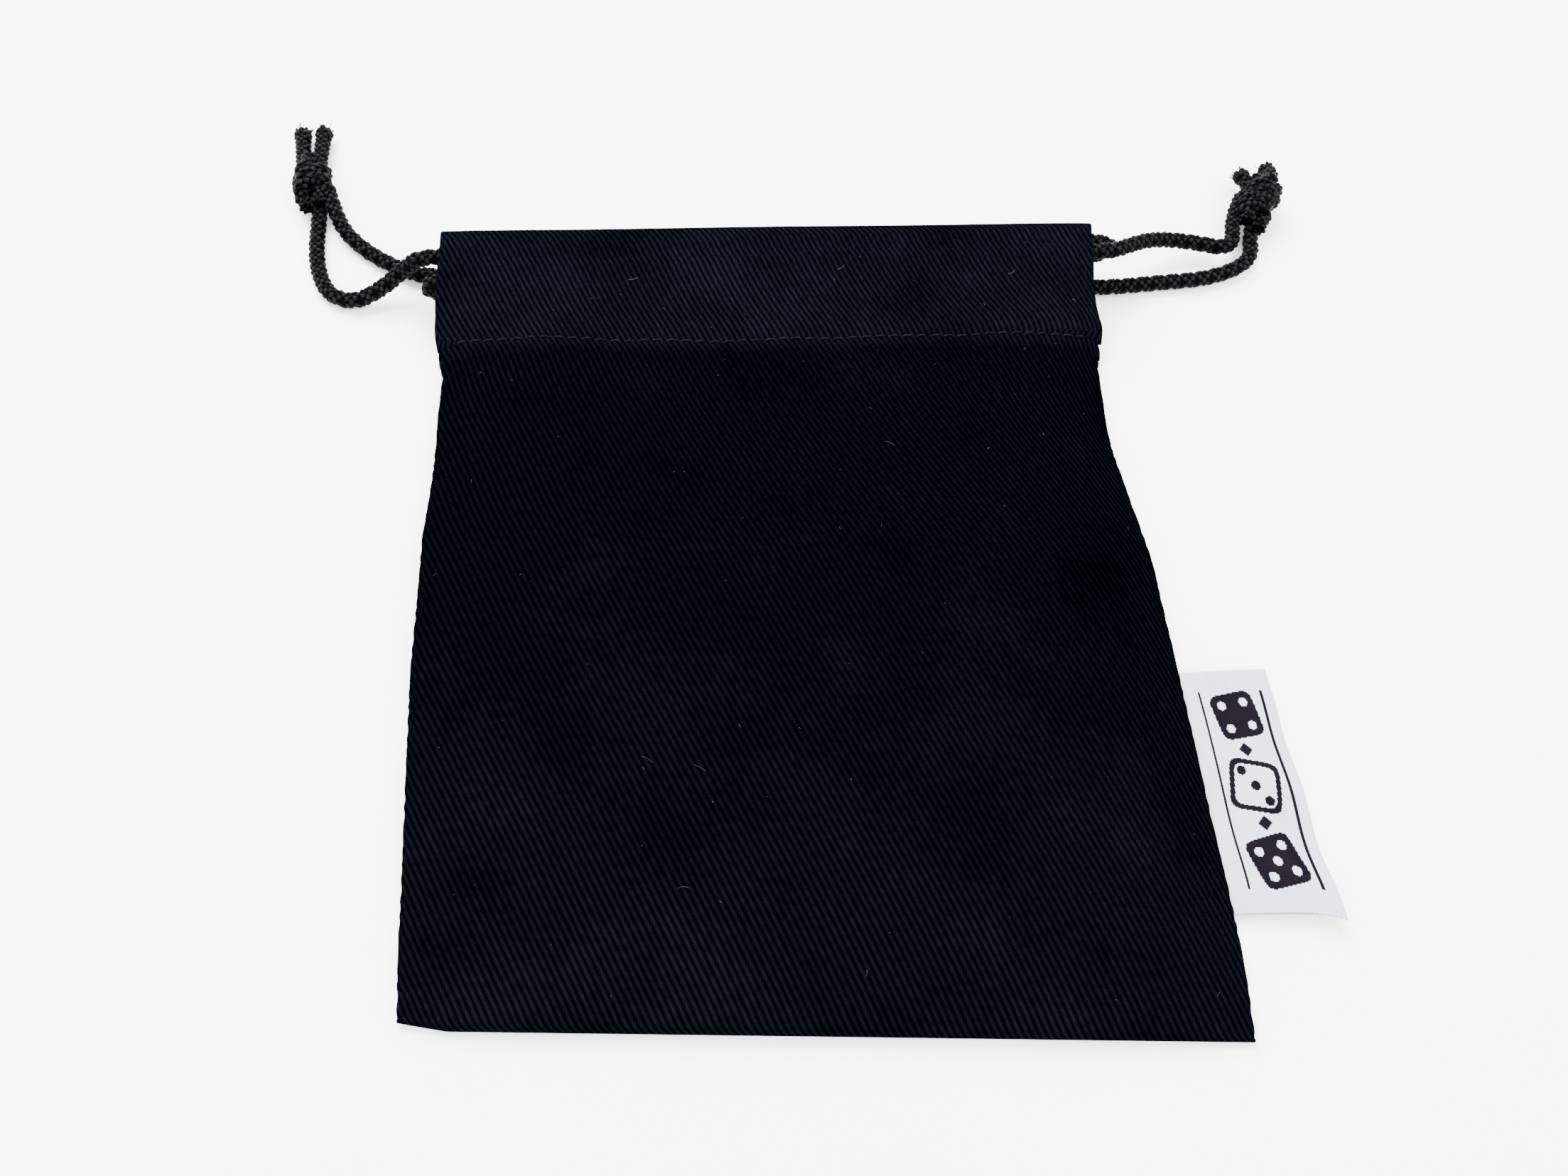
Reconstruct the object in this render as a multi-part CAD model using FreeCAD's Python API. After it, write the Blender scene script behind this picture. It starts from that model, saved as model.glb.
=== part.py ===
import FreeCAD, Part
import math
import os

V = FreeCAD.Vector

# A flat drawstring pouch lying on its back: +X across, +Y toward the mouth, +Z up, millimetres.
# The numbers below run from the closed bottom edge (y = 0); MID_Y moves the origin to the middle.
CLOTH = 0.45          # one thickness of cotton twill
HALF_W = 50.8         # half of the 4 in width
LENGTH = 123.0        # closed edge to mouth along the table; the front cloth itself is 5 in long
HEM_Y = 105.0         # where the hem tunnel starts
MID_Y = 61.5
CORD_D = 2.5
TUNNEL = 2.65         # clear height inside each hem tunnel
BACK_TOP = TUNNEL + 2 * CLOTH            # top of the back hem
FRONT_LOW = 7.80                         # underside of the front hem
FRONT_TOP = FRONT_LOW + TUNNEL + 2 * CLOTH
Z_BACK = CLOTH + TUNNEL / 2              # cord centre in the back tunnel
Z_FRONT = FRONT_LOW + CLOTH + TUNNEL / 2  # cord centre in the front tunnel
ON_TABLE = 1.3        # height of a cord centre that lies on the table
SEAM_TURN = 9.3       # width of each turned-in side seam
SEAM_LOW, SEAM_HIGH = 0.5, 1.3
SIDE_Y0, SIDE_Y1 = 11.0, 104.0
LABEL_AXIS = V(51.9, 0, 0.95)
LABEL_Y0, LABEL_Y1 = 12.0, 44.8
LABEL_OUT = 66.2

# Height of the front cloth's underside down the middle, and along its side edges.
CROWN = [
    (0.0, 0.60, 0.45), (1.5, 1.90, 0.45), (4.0, 2.80, 0.50), (8.0, 4.20, 0.90), (10.5, 4.90, 1.40),
    (20.0, 6.80, 1.40), (40.0, 8.70, 1.40), (60.0, 9.30, 1.40), (80.0, 9.00, 1.40),
    (95.0, 8.70, 1.40), (HEM_Y, 8.40, 1.40),
]
SIDE_POWER = 8

os.makedirs("parts", exist_ok=True)


def save(name, shape):
    shape = shape.copy()
    shape.translate(V(0, -MID_Y, 0))
    shape.exportStep("parts/" + name + ".step")
    print(name, "volume", round(shape.Volume, 2), "valid", shape.isValid())


def box(x0, x1, y0, y1, z0, z1):
    return Part.makeBox(x1 - x0, y1 - y0, z1 - z0, V(x0, y0, z0))


def wall_face(y, crown, edge):
    """Cross-section of the front cloth: a low arch that drops at the side seams."""
    low = []
    steps = 36
    for i in range(steps + 1):
        u = math.cos(math.pi * (steps - i) / steps)
        low.append(V(HALF_W * u, y, edge + (crown - edge) * (1 - abs(u) ** SIDE_POWER)))
    high = []
    for i, p in enumerate(low):
        a = low[max(i - 1, 0)]
        b = low[min(i + 1, steps)]
        t = (b - a).normalize()
        high.append(p + V(-t.z, 0, t.x) * CLOTH)
    under = Part.BSplineCurve()
    under.interpolate(low)
    over = Part.BSplineCurve()
    over.interpolate(high[::-1])
    sides = [Part.makeLine(low[-1], high[-1]), Part.makeLine(high[0], low[0])]
    return Part.Wire([under.toShape(), sides[0], over.toShape(), sides[1]])


front_panel = Part.makeLoft([wall_face(*c) for c in CROWN], True, True)
save("front_panel", front_panel)
save("back_panel", box(-HALF_W, HALF_W, 0, HEM_Y, 0, CLOTH))


def is_mouth_edge(edge):
    return edge.Length > 2 * HALF_W - 1e-6 and edge.BoundBox.YMin > HEM_Y + 3


def hem_tunnel(low, high):
    """A turned hem: a flattened tube of cloth, open at both ends."""
    outer = box(-HALF_W, HALF_W, HEM_Y, LENGTH, low, high)
    outer = outer.makeFillet(1.35, [e for e in outer.Edges if is_mouth_edge(e)])
    inner = box(-HALF_W - 1, HALF_W + 1, HEM_Y + 2.0, LENGTH - CLOTH, low + CLOTH, high - CLOTH)
    inner = inner.makeFillet(0.95, [e for e in inner.Edges if is_mouth_edge(e)])
    return outer.cut(inner)


save("front_casing", hem_tunnel(FRONT_LOW, FRONT_TOP))
save("back_casing", hem_tunnel(0.0, BACK_TOP))


def stitch_row(x0, x1, y, z, pitch, length, wide=0.36, thick=0.2):
    """Lock-stitches as short flat-bottomed threads lying along X."""
    row = []
    count = int((x1 - x0) / pitch)
    start = (x0 + x1 - (count - 1) * pitch) / 2
    for i in range(count):
        x = start + i * pitch
        row.append(box(x - length / 2, x + length / 2, y - wide / 2, y + wide / 2, z, z + thick))
    return Part.makeCompound(row)


save("front_casing_stitches", stitch_row(-49.6, 49.6, HEM_Y + 1.0, FRONT_TOP, 2.1, 1.6))
save("back_casing_stitches", stitch_row(-49.6, 49.6, HEM_Y + 1.0, BACK_TOP, 2.1, 1.6))

# Bottom seam, turned inside: two thicknesses, its stitches, and the overlocked raw edge.
BOTTOM_Y0, BOTTOM_Y1, BOTTOM_X, BOTTOM_Z = 2.6, 8.0, 45.0, 1.35
save("bottom_seam_allowance", box(-BOTTOM_X, BOTTOM_X, BOTTOM_Y0, BOTTOM_Y1, CLOTH, BOTTOM_Z))
save("bottom_seam_stitches", stitch_row(-44.0, 44.0, 3.6, BOTTOM_Z, 2.4, 1.9))


def overlock(length, pitch=2.4, reach=3.4, thread=0.3, thick=0.9, over=0.22):
    """Thread loops over a raw edge: the edge lies along X at y = 0 and the cloth is on the y < 0 side."""
    edge = box(0, length, 0, thread, 0, thick)
    loops = [edge]
    count = int(length / pitch)
    for i in range(count):
        x = (length - (count - 1) * pitch) / 2 + i * pitch
        loops.append(box(x - thread / 2, x + thread / 2, -reach, thread, thick, thick + over))
    body = loops[0]
    return body.multiFuse(loops[1:]).removeSplitter()


edge_threads = overlock(2 * 44.5)
edge_threads.translate(V(-44.5, BOTTOM_Y1, CLOTH))
save("bottom_overlock", edge_threads)

# Side seams: each turned-in strip reaches from the side edge inward and turns with the side.
SEAM_IN = HALF_W - SEAM_TURN
for side, sign in (("left", -1), ("right", 1)):
    x0, x1 = sorted((sign * HALF_W, sign * SEAM_IN))
    strip = box(x0, x1, SIDE_Y0, SIDE_Y1, SEAM_LOW, SEAM_HIGH)
    save(side + "_seam_allowance", strip)
    row = stitch_row(SIDE_Y0 + 0.8, SIDE_Y1 - 0.8, 0, SEAM_HIGH, 2.4, 1.9)
    row.rotate(V(0, 0, 0), V(0, 0, 1), 90)
    row.translate(V(sign * 48.4, 0, 0))
    save(side + "_seam_stitches", row)
    threads = overlock(SIDE_Y1 - SIDE_Y0 - 1.0, thick=SEAM_HIGH - SEAM_LOW)
    if sign < 0:
        threads.rotate(V(0, 0, 0), V(0, 0, 1), -90)
        threads.translate(V(sign * SEAM_IN, SIDE_Y1 - 0.5, SEAM_LOW))
    else:
        threads.rotate(V(0, 0, 0), V(0, 0, 1), 90)
        threads.translate(V(sign * SEAM_IN, SIDE_Y0 + 0.5, SEAM_LOW))
    save(side + "_overlock", threads)

# Woven loop label: a folded tape with a rounded root on the line it swings about.
ROOT_R = 0.45
TAPE = 0.26
LABEL_LEN = LABEL_Y1 - LABEL_Y0
root = Part.makeCylinder(ROOT_R, LABEL_LEN, V(LABEL_AXIS.x, LABEL_Y0, LABEL_AXIS.z), V(0, 1, 0))
fold_r = 0.62
fold_x = LABEL_OUT - fold_r
z_mid = LABEL_AXIS.z + 0.15
fold = Part.makeCylinder(fold_r, LABEL_LEN, V(fold_x, LABEL_Y0, z_mid), V(0, 1, 0))
bore = Part.makeCylinder(fold_r - TAPE, LABEL_LEN + 2, V(fold_x, LABEL_Y0 - 1, z_mid), V(0, 1, 0))


def tape_side(up):
    """One side of the folded tape, from the root to the fold."""
    a = LABEL_AXIS.z + up * 0.30
    b = z_mid + up * fold_r
    c = z_mid + up * (fold_r - TAPE)
    d = LABEL_AXIS.z + up * 0.04
    pts = [V(LABEL_AXIS.x, 0, a), V(fold_x, 0, b), V(fold_x, 0, c), V(LABEL_AXIS.x + 0.9, 0, d)]
    pts.append(V(LABEL_AXIS.x, 0, d))
    face = Part.Face(Part.makePolygon(pts + [pts[0]]))
    face.translate(V(0, LABEL_Y0, 0))
    return face.extrude(V(0, LABEL_LEN, 0))


half_fold = fold.cut(bore).cut(box(fold_x - 3, fold_x, 0, 60, -2, 5))
label = root.multiFuse([tape_side(1), tape_side(-1), half_fold]).removeSplitter()
save("woven_label", label)

# Generic motif woven on the label's upper face: a die face with five pips and two bars.
slope = math.atan2((z_mid + fold_r) - (LABEL_AXIS.z + 0.30), fold_x - LABEL_AXIS.x)


def patch(x0, x1, y0, y1):
    return box(x0, x1, y0, y1, 0, 0.06)


marks = [patch(3.6, 11.6, 12.6, 13.2), patch(3.6, 11.6, 20.0, 20.6)]
marks += [patch(3.6, 4.2, 13.2, 20.0), patch(11.0, 11.6, 13.2, 20.0)]
for px, py in ((5.6, 14.8), (9.6, 14.8), (7.6, 16.6), (5.6, 18.4), (9.6, 18.4)):
    marks.append(Part.makeCylinder(0.55, 0.06, V(px, py, 0)))
marks += [patch(2.6, 12.6, 5.0, 6.6), patch(2.6, 12.6, 26.2, 27.8)]
motif = Part.makeCompound(marks)
motif.rotate(V(0, 0, 0), V(0, 1, 0), -math.degrees(slope))
motif.translate(V(LABEL_AXIS.x, LABEL_Y0, LABEL_AXIS.z + 0.305))
save("label_motif", motif)


def rounded(points):
    """Straight runs joined by tangent arcs; each arc takes 0.45 of its shorter neighbour run."""
    edges = []
    arcs = []
    at = points[0]
    for i in range(1, len(points) - 1):
        a, b, c = points[i - 1], points[i], points[i + 1]
        into = (b - a).normalize()
        out = (c - b).normalize()
        short = min((b - a).Length, (c - b).Length)
        back = 0.45 * short
        radius = back / math.tan(into.getAngle(out) / 2)
        arcs.append(round(radius, 2))
        start = b - into * back
        end = b + out * back
        middle = b + (out - into).normalize() * (math.hypot(radius, back) - radius)
        if (start - at).Length > 1e-6:
            edges.append(Part.makeLine(at, start))
        edges.append(Part.Arc(start, middle, end).toShape())
        at = end
    edges.append(Part.makeLine(at, points[-1]))
    return Part.Wire(edges), arcs


def cord(name, points):
    wire, arcs = rounded(points)
    ring = Part.Wire(Part.makeCircle(CORD_D / 2, points[0], (points[1] - points[0]).normalize()))
    print(name, "length", round(wire.Length, 2), "smallest arc radius", min(arcs), "arcs", arcs)
    return wire.makePipeShell([ring], True, True)


def knot_solid(radius, apart, at, along):
    """An overhand knot's bulk: two round bulges, their centres apart along the cord, with a waist between."""
    step = V(along.x, along.y, along.z).normalize() * (apart / 2)
    return Part.makeSphere(radius, at - step).fuse(Part.makeSphere(radius, at + step)).removeSplitter()


# Left cord: knot -> upper leg -> front tunnel -> round the right end -> back tunnel -> lower leg -> knot.
LEFT_ROUTE = [
    V(-74.5, 136.0, 1.7), V(-74.1, 130.2, ON_TABLE), V(-73.9, 125.0, ON_TABLE), V(-72.9, 119.4, ON_TABLE),
    V(-70.6, 114.6, ON_TABLE), V(-66.2, 113.0, 1.4), V(-61.6, 115.0, 2.8), V(-58.0, 116.5, 5.4),
    V(-53.8, 115.6, Z_FRONT), V(54.3, 119.0, Z_FRONT), V(54.3, 119.0, Z_BACK), V(-53.2, 116.8, Z_BACK),
    V(-62.2, 121.0, ON_TABLE), V(-68.7, 126.6, ON_TABLE), V(-71.4, 131.3, 2.2), V(-72.9, 136.0, 3.6),
]
# Right cord: knot -> upper leg -> front tunnel -> round the left end -> back tunnel -> lower leg -> knot.
RIGHT_ROUTE = [
    V(80.2, 133.0, 3.0), V(77.5, 128.4, 2.7), V(76.1, 120.7, 3.1), V(68.8, 123.0, 3.0), V(61.8, 121.6, 5.0),
    V(56.4, 117.6, 7.6), V(51.6, 114.2, Z_FRONT), V(-54.0, 112.0, Z_FRONT), V(-54.0, 112.0, Z_BACK),
    V(52.8, 114.0, Z_BACK), V(62.0, 115.4, ON_TABLE), V(72.6, 116.4, ON_TABLE), V(79.8, 120.2, ON_TABLE),
    V(80.3, 125.4, 1.5), V(82.0, 129.8, 2.8),
]
LEFT_ENDS = [
    [V(-77.2, 138.6, 2.6), V(-78.3, 144.4, 2.0), V(-79.3, 150.9, 1.5)],
    [V(-75.0, 138.6, 3.1), V(-75.2, 144.4, 2.5), V(-75.6, 150.8, 1.9)],
]
RIGHT_ENDS = [
    [V(82.0, 132.4, 3.7), V(81.8, 135.4, 3.4), V(81.1, 138.3, 2.9)],
    [V(84.0, 133.0, 2.9), V(85.3, 136.6, 2.4), V(87.0, 141.0, 1.6)],
]

for side, route, radius, apart, at, along, ends in (
    ("left", LEFT_ROUTE, 3.1, 3.0, V(-75.6, 137.4, 3.2), V(-0.15, 1, 0), LEFT_ENDS),
    ("right", RIGHT_ROUTE, 3.6, 2.8, V(82.6, 131.6, 3.7), V(0.40, 1, 0), RIGHT_ENDS),
):
    knot = knot_solid(radius, apart, at, along)
    save(side + "_knot", knot)
    tube = cord(side + "_drawcord", route).cut(knot)
    save(side + "_drawcord", max(tube.Solids, key=lambda s: s.Volume))
    pair = []
    for number, points in enumerate(ends):
        tail = cord(side + "_cord_end_" + str(number + 1), points).cut(knot)
        pair.append(max(tail.Solids, key=lambda s: s.Volume))
    save(side + "_cord_ends", Part.makeCompound(pair))
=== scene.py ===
import math
import random

import bpy
import numpy as np
from mathutils import Matrix, Vector


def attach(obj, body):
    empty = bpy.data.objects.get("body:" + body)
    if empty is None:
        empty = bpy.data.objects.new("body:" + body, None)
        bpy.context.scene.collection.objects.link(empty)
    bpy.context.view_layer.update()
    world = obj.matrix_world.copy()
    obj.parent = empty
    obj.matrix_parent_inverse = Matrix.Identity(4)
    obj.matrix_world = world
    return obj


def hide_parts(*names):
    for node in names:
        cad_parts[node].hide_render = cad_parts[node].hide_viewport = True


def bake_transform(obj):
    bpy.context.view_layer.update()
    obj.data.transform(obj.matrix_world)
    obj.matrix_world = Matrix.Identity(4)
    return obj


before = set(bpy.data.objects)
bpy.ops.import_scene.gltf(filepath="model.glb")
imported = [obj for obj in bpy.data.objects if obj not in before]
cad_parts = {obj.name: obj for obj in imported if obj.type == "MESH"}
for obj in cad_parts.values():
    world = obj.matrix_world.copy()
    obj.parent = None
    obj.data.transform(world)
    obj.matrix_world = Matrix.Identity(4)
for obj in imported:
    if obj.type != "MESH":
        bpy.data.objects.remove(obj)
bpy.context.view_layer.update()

# ---------------------------------------------------------------- sizes
# Drawn in millimetres from the closed bottom edge, as the CAD source is; place() gives the frame's metres.
MID_Y = 61.5
HALF_W = 50.8
CLOTH = 0.45
CORD_D = 2.5
Z_BACK = 1.775
Z_FRONT = 9.575
ON_TABLE = 1.3
WALE_X, WALE_Y = 0.90, 1.96          # twill wale repeat across and along the cloth
STITCH_PITCH, STITCH_LONG = 2.1, 1.55
CLOTH_LENGTH = 149.0                 # from the bottom seam, over the mouth, to the end of the turned-in hem


def place(x, y, z):
    return np.stack(np.broadcast_arrays(x, np.asarray(y) - MID_Y, z), -1) / 1000.0


def smooth_table(rows, at, column=1):
    """Cubic interpolation through listed rows (position, value, ...)."""
    xs = np.array([r[0] for r in rows], float)
    ys = np.array([r[column] for r in rows], float)
    at = np.clip(at, xs[0], xs[-1])
    slope = np.gradient(ys, xs)
    i = np.clip(np.searchsorted(xs, at) - 1, 0, len(xs) - 2)
    h = xs[i + 1] - xs[i]
    t = (at - xs[i]) / h
    a = (2 * t**3 - 3 * t**2 + 1) * ys[i] + (t**3 - 2 * t**2 + t) * h * slope[i]
    b = (-2 * t**3 + 3 * t**2) * ys[i + 1] + (t**3 - t**2) * h * slope[i + 1]
    return a + b


def smoothstep(a, b, x):
    t = np.clip((x - a) / (b - a), 0, 1)
    return t * t * (3 - 2 * t)


# ---------------------------------------------------------------- node helpers
class Shader:
    """A material whose nodes are made by short calls."""

    def __init__(self, name, roughness=0.9, sheen=0.0, specular=0.5):
        self.material = bpy.data.materials.new(name)
        self.material.use_nodes = True
        self.tree = self.material.node_tree
        self.main = self.tree.nodes["Principled BSDF"]
        self.main.inputs["Roughness"].default_value = roughness
        self.main.inputs["Specular IOR Level"].default_value = specular
        self.main.inputs["Sheen Weight"].default_value = sheen

    def link(self, value, socket):
        if isinstance(value, bpy.types.NodeSocket):
            self.tree.links.new(value, socket)
        else:
            socket.default_value = value

    def math(self, operation, a, b=0.0, c=0.0, clamp=False):
        node = self.tree.nodes.new("ShaderNodeMath")
        node.operation = operation
        node.use_clamp = clamp
        for value, socket in zip((a, b, c), node.inputs):
            self.link(value, socket)
        return node.outputs[0]

    def noise(self, vector, scale, detail=3.0, rough=0.5):
        node = self.tree.nodes.new("ShaderNodeTexNoise")
        self.link(vector, node.inputs["Vector"])
        node.inputs["Scale"].default_value = scale
        node.inputs["Detail"].default_value = detail
        node.inputs["Roughness"].default_value = rough
        return node.outputs["Fac"]

    def uv(self):
        node = self.tree.nodes.new("ShaderNodeUVMap")
        node.uv_map = "cloth"
        return node.outputs[0]

    def where(self):
        return self.tree.nodes.new("ShaderNodeTexCoord").outputs["Object"]

    def split(self, vector):
        node = self.tree.nodes.new("ShaderNodeSeparateXYZ")
        self.link(vector, node.inputs[0])
        return node.outputs[0], node.outputs[1], node.outputs[2]

    def ramp(self, fac, stops):
        node = self.tree.nodes.new("ShaderNodeValToRGB")
        elements = node.color_ramp.elements
        while len(elements) < len(stops):
            elements.new(0.5)
        for element, (position, colour) in zip(elements, stops):
            element.position = position
            element.color = (*colour, 1)
        self.link(fac, node.inputs[0])
        return node.outputs[0]

    def mix(self, fac, a, b, mode="MIX"):
        node = self.tree.nodes.new("ShaderNodeMix")
        node.data_type = "RGBA"
        node.blend_type = mode
        self.link(fac, node.inputs[0])
        self.link(a, node.inputs[6])
        self.link(b, node.inputs[7])
        return node.outputs[2]

    def colour(self, value):
        self.link(value, self.main.inputs["Base Color"])

    def bump(self, height, distance, strength=1.0):
        node = self.tree.nodes.new("ShaderNodeBump")
        node.inputs["Strength"].default_value = strength
        node.inputs["Distance"].default_value = distance
        self.link(height, node.inputs["Height"])
        self.link(node.outputs[0], self.main.inputs["Normal"])


def weave(shader, vector, per_unit=1.0):
    """3/1 twill: returns (float height, wale height) from cloth millimetres."""
    across, along, _ = shader.split(vector)
    end = shader.math("MULTIPLY", across, 4 * per_unit / WALE_X)
    pick = shader.math("MULTIPLY", along, 4 * per_unit / WALE_Y)
    index = shader.math("FLOOR", end)
    centre = shader.math("SUBTRACT", shader.math("FRACT", end), 0.5)
    squared = shader.math("MULTIPLY", centre, centre)
    thread = shader.math("SUBTRACT", 1.0, shader.math("MULTIPLY", squared, 3.2))
    phase = shader.math("FRACT", shader.math("MULTIPLY", shader.math("ADD", pick, index), 0.25))
    on_top = shader.math("DIVIDE", phase, 0.78, clamp=True)
    hump = shader.math("SINE", shader.math("MULTIPLY", on_top, math.pi))
    floats = shader.math("MULTIPLY", shader.math("POWER", hump, 0.6), thread)
    ridge = shader.math("FRACT", shader.math("MULTIPLY", shader.math("ADD", pick, end), 0.25))
    wale = shader.math("SINE", shader.math("MULTIPLY", ridge, math.pi))
    return floats, wale


def twill_material(name, from_uv=True):
    s = Shader(name, roughness=0.85, specular=0.0)
    vector = s.uv() if from_uv else s.where()
    per_unit = 1.0 if from_uv else 1000.0
    floats, wale = weave(s, vector, per_unit)
    fuzz = s.noise(vector, 9.0 * per_unit, 4.0, 0.7)
    slub = s.noise(vector, 0.9 * per_unit, 3.0, 0.6)
    patch = s.noise(vector, 0.06 * per_unit, 3.0, 0.55)
    height = s.math("ADD", s.math("MULTIPLY", floats, 0.45), s.math("MULTIPLY", wale, 0.55))
    # Colour follows the weave's height: raised floats and wales are painted lighter as highlight and the
    # dips darker as shade, mixed with the fibre fuzz's own tone.
    crown_light_and_fuzz = s.math("ADD", s.math("MULTIPLY", height, 0.34), s.math("MULTIPLY", fuzz, 0.66))
    thread = s.ramp(crown_light_and_fuzz, [(0.24, (0.00004, 0.00006, 0.00018)), (0.50, (0.00021, 0.00030, 0.00074)),
                          (0.76, (0.0019, 0.0021, 0.0036))])
    worn = s.ramp(slub, [(0.30, (0.66, 0.66, 0.70)), (0.70, (1.36, 1.34, 1.30))])
    faded = s.ramp(patch, [(0.30, (0.62, 0.64, 0.66)), (0.70, (1.42, 1.40, 1.36))])
    tone = s.mix(1.0, s.mix(1.0, thread, worn, "MULTIPLY"), faded, "MULTIPLY")
    if from_uv:
        # Painted sheen: the hem and the bottom third are coloured paler than the middle, standing in for
        # light glancing off them, and the cloth just below the hem's row is a touch darker.
        down = s.math("MULTIPLY", s.split(vector)[1], 1 / CLOTH_LENGTH)
        painted_sheen = s.ramp(down, [(0.0, (1.9, 1.9, 1.8)), (0.20, (1.4, 1.4, 1.35)), (0.38, (1.0, 1.0, 1.0)),
                              (0.660, (0.95, 0.95, 1.0)), (0.685, (2.7, 2.6, 2.3)), (0.80, (2.2, 2.1, 2.0))])
        tone = s.mix(1.0, tone, painted_sheen, "MULTIPLY")
    s.colour(tone)
    relief = s.math("ADD", height, s.math("MULTIPLY", fuzz, 0.45))
    s.bump(relief, 0.00022, 0.9)
    return s.material


def thread_material():
    s = Shader("sewing_thread", roughness=0.5, specular=0.01)
    twist = s.noise(s.where(), 2600.0, 2.0, 0.6)
    s.colour(s.ramp(twist, [(0.3, (0.0006, 0.0007, 0.0013)), (0.7, (0.0050, 0.0055, 0.0085))]))
    s.bump(twist, 0.00005, 0.6)
    return s.material


def cord_material():
    s = Shader("braided_cord", roughness=0.40, specular=0.012)
    fibre = s.noise(s.where(), 5200.0, 3.0, 0.65)
    wear = s.noise(s.where(), 380.0, 3.0, 0.6)
    high, _, _ = s.split(s.uv())
    # Colour follows each strand's height in the braid: crowns are painted lighter as highlight, the dips and
    # the core darker as shade, mixed with fibre tone.
    crown_light_and_fibre = s.math("ADD", s.math("MULTIPLY", high, 0.62), s.math("MULTIPLY", fibre, 0.38))
    dark = s.ramp(crown_light_and_fibre, [(0.30, (0.00008, 0.00008, 0.00014)), (0.60, (0.0007, 0.0007, 0.0010)),
                          (0.82, (0.0085, 0.0085, 0.0095))])
    tone = s.ramp(wear, [(0.3, (0.75, 0.75, 0.80)), (0.7, (1.25, 1.22, 1.18))])
    s.colour(s.mix(1.0, dark, tone, "MULTIPLY"))
    s.bump(fibre, 0.00006, 0.8)
    return s.material


def tip_material():
    s = Shader("melted_cord_end", roughness=0.6, specular=0.01)
    burn = s.noise(s.where(), 1500.0, 4.0, 0.6)
    s.colour(s.ramp(burn, [(0.30, (0.0012, 0.0011, 0.0011)), (0.52, (0.007, 0.006, 0.005)),
                           (0.75, (0.030, 0.026, 0.020))]))
    s.bump(burn, 0.0002, 0.9)
    return s.material


def lint_material():
    s = Shader("white_lint", roughness=0.9, specular=0.0)
    s.colour(s.ramp(s.noise(s.where(), 900.0), [(0.3, (0.012, 0.013, 0.016)), (0.7, (0.055, 0.057, 0.065))]))
    return s.material


def tape_material(name, light, dark, sheen, specular):
    """Satin label ribbon: fine cross ribs, with a soft shine."""
    s = Shader(name, roughness=0.48, sheen=sheen, specular=specular)
    across, along, _ = s.split(s.uv())
    ribs = s.math("SINE", s.math("MULTIPLY", along, 2 * math.pi / 0.21))
    ends = s.math("SINE", s.math("MULTIPLY", across, 2 * math.pi / 0.13))
    cloth = s.math("ADD", s.math("MULTIPLY", ribs, 0.35), s.math("MULTIPLY", ends, 0.15))
    cloth = s.math("ADD", cloth, 0.5)
    patch = s.noise(s.uv(), 0.25, 3.0, 0.5)
    shade = s.math("ADD", s.math("MULTIPLY", cloth, 0.35), s.math("MULTIPLY", patch, 0.65))
    s.colour(s.ramp(shade, [(0.25, dark), (0.75, light)]))
    s.bump(cloth, 0.00005, 0.7)
    return s.material


def floor_material():
    s = Shader("pale_floor", roughness=0.85, specular=0.2)
    grain = s.noise(s.where(), 35.0, 3.0, 0.5)
    s.colour(s.ramp(grain, [(0.3, (0.965, 0.965, 0.968)), (0.7, (0.98, 0.98, 0.981))]))
    return s.material


TWILL = twill_material("navy_twill")
TWILL_CAD = twill_material("navy_twill_inside", from_uv=False)
THREAD = thread_material()
CORD = cord_material()
TIP = tip_material()
LINT = lint_material()
TAPE = tape_material("label_satin", (0.41, 0.44, 0.50), (0.29, 0.32, 0.375), 0.05, 0.3)
MOTIF = tape_material("label_weave_dark", (0.0050, 0.0034, 0.0062), (0.0018, 0.0012, 0.0028), 0.0, 0.01)


# ---------------------------------------------------------------- mesh helpers
def make_piece(name, verts, faces, materials, face_slots=None, uv=None, smooth=True):
    mesh = bpy.data.meshes.new(name)
    mesh.from_pydata(np.asarray(verts).tolist(), [], faces)
    for material in materials:
        mesh.materials.append(material)
    if face_slots is not None:
        mesh.polygons.foreach_set("material_index", np.asarray(face_slots, np.int32))
    if uv is not None:
        layer = mesh.uv_layers.new(name="cloth")
        loops = np.zeros(len(mesh.loops), np.int32)
        mesh.loops.foreach_get("vertex_index", loops)
        layer.data.foreach_set("uv", np.asarray(uv, np.float32)[loops].ravel())
    mesh.polygons.foreach_set("use_smooth", [smooth] * len(mesh.polygons))
    mesh.update()
    piece = bpy.data.objects.new(name, mesh)
    bpy.context.scene.collection.objects.link(piece)
    return piece


def grid_faces(rows, columns, start=0, flip=False):
    a = start + np.arange(rows - 1)[:, None] * columns + np.arange(columns - 1)[None, :]
    quads = np.stack([a, a + 1, a + 1 + columns, a + columns], -1).reshape(-1, 4)
    return (quads[:, ::-1] if flip else quads).tolist()


# ---------------------------------------------------------------- the bag's shape
LEFT_EDGE = [
    (-4, -49.2), (6, -49.8), (13, -50.2), (20, -50.5), (27, -50.9), (35, -51.3), (47, -51.9), (64, -52.1),
    (69, -52.2), (76, -51.8), (84, -51.6), (92, -51.7), (97, -51.6), (101, -52.3), (104, -52.3),
    (107, -52.0), (111, -51.6), (118, -51.6), (121.5, -51.9), (124, -51.7),
]
RIGHT_EDGE = [
    (-4, 51.7), (2, 52.2), (9, 52.6), (16, 52.7), (24, 52.5), (40, 52.3), (57, 52.0), (62, 51.9),
    (67, 51.4), (72, 50.7), (77, 50.1), (82, 49.5), (87, 49.4), (92, 49.7), (97, 49.9), (101.5, 50.5),
    (104, 49.7), (107, 49.1), (112, 49.1), (118, 49.7), (121, 50.2), (124, 50.0),
]
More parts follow.
